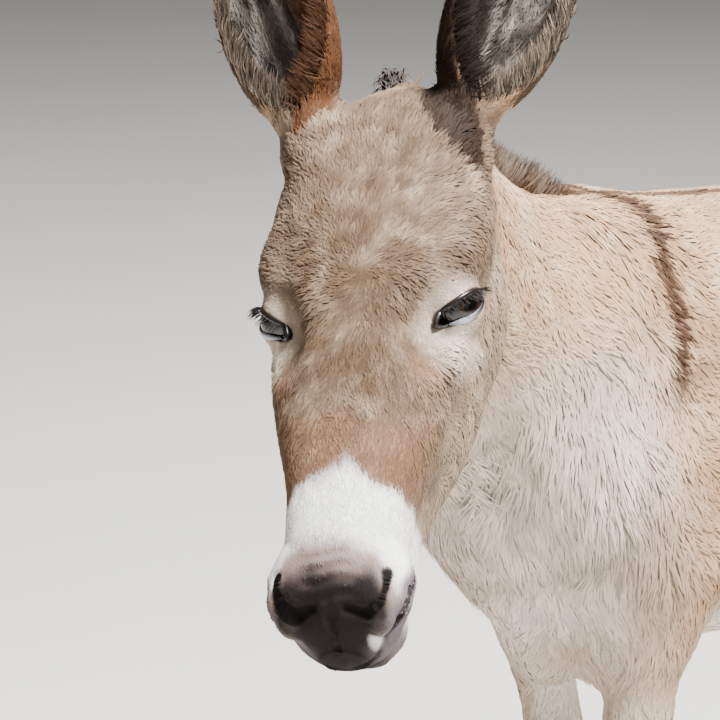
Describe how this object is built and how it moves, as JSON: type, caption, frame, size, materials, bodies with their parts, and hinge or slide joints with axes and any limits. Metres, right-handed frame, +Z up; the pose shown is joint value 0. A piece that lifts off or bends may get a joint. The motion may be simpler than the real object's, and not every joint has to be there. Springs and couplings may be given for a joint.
{
  "type": "donkey",
  "caption": "Life-size standing donkey with a lowered head turned to its left, long ears, a short mane and a tufted tail, as a still display model.",
  "frame": {"origin": "on the ground under the middle of the bounding box", "axes": "+Z up; the trunk faces -Y; the animal's left side is +X"},
  "size_m": [0.6032, 1.5211, 1.4106],
  "materials": {
    "coat": "matt short hair, warm grey",
    "pale_coat": "matt short hair, off-white",
    "muzzle_skin": "matt, nearly bare dark skin",
    "ear_coat": "matt short hair, dark brown",
    "mane_hair": "matt long hair, dark grey-brown",
    "horn": "satin horn, grey",
    "eye": "wet, dark brown"
  },
  "bodies": {
    "root": {"shoulders": "coat", "barrel": "coat", "hindquarters": "coat", "neck": "coat", "head": "coat", "muzzle": "pale_coat", "lower_lip": "muzzle_skin", "eye_left": "eye", "eye_right": "eye", "ear_left": "ear_coat", "ear_right": "ear_coat", "forearm_left": "coat", "cannon_fore_left": "pale_coat", "hoof_fore_left": "horn", "forearm_right": "coat", "cannon_fore_right": "pale_coat", "hoof_fore_right": "horn", "gaskin_left": "coat", "cannon_hind_left": "pale_coat", "hoof_hind_left": "horn", "gaskin_right": "coat", "cannon_hind_right": "pale_coat", "hoof_hind_right": "horn", "tail_dock": "coat", "tail_switch": "mane_hair", "mane": "mane_hair"}
  },
  "joints": []
}
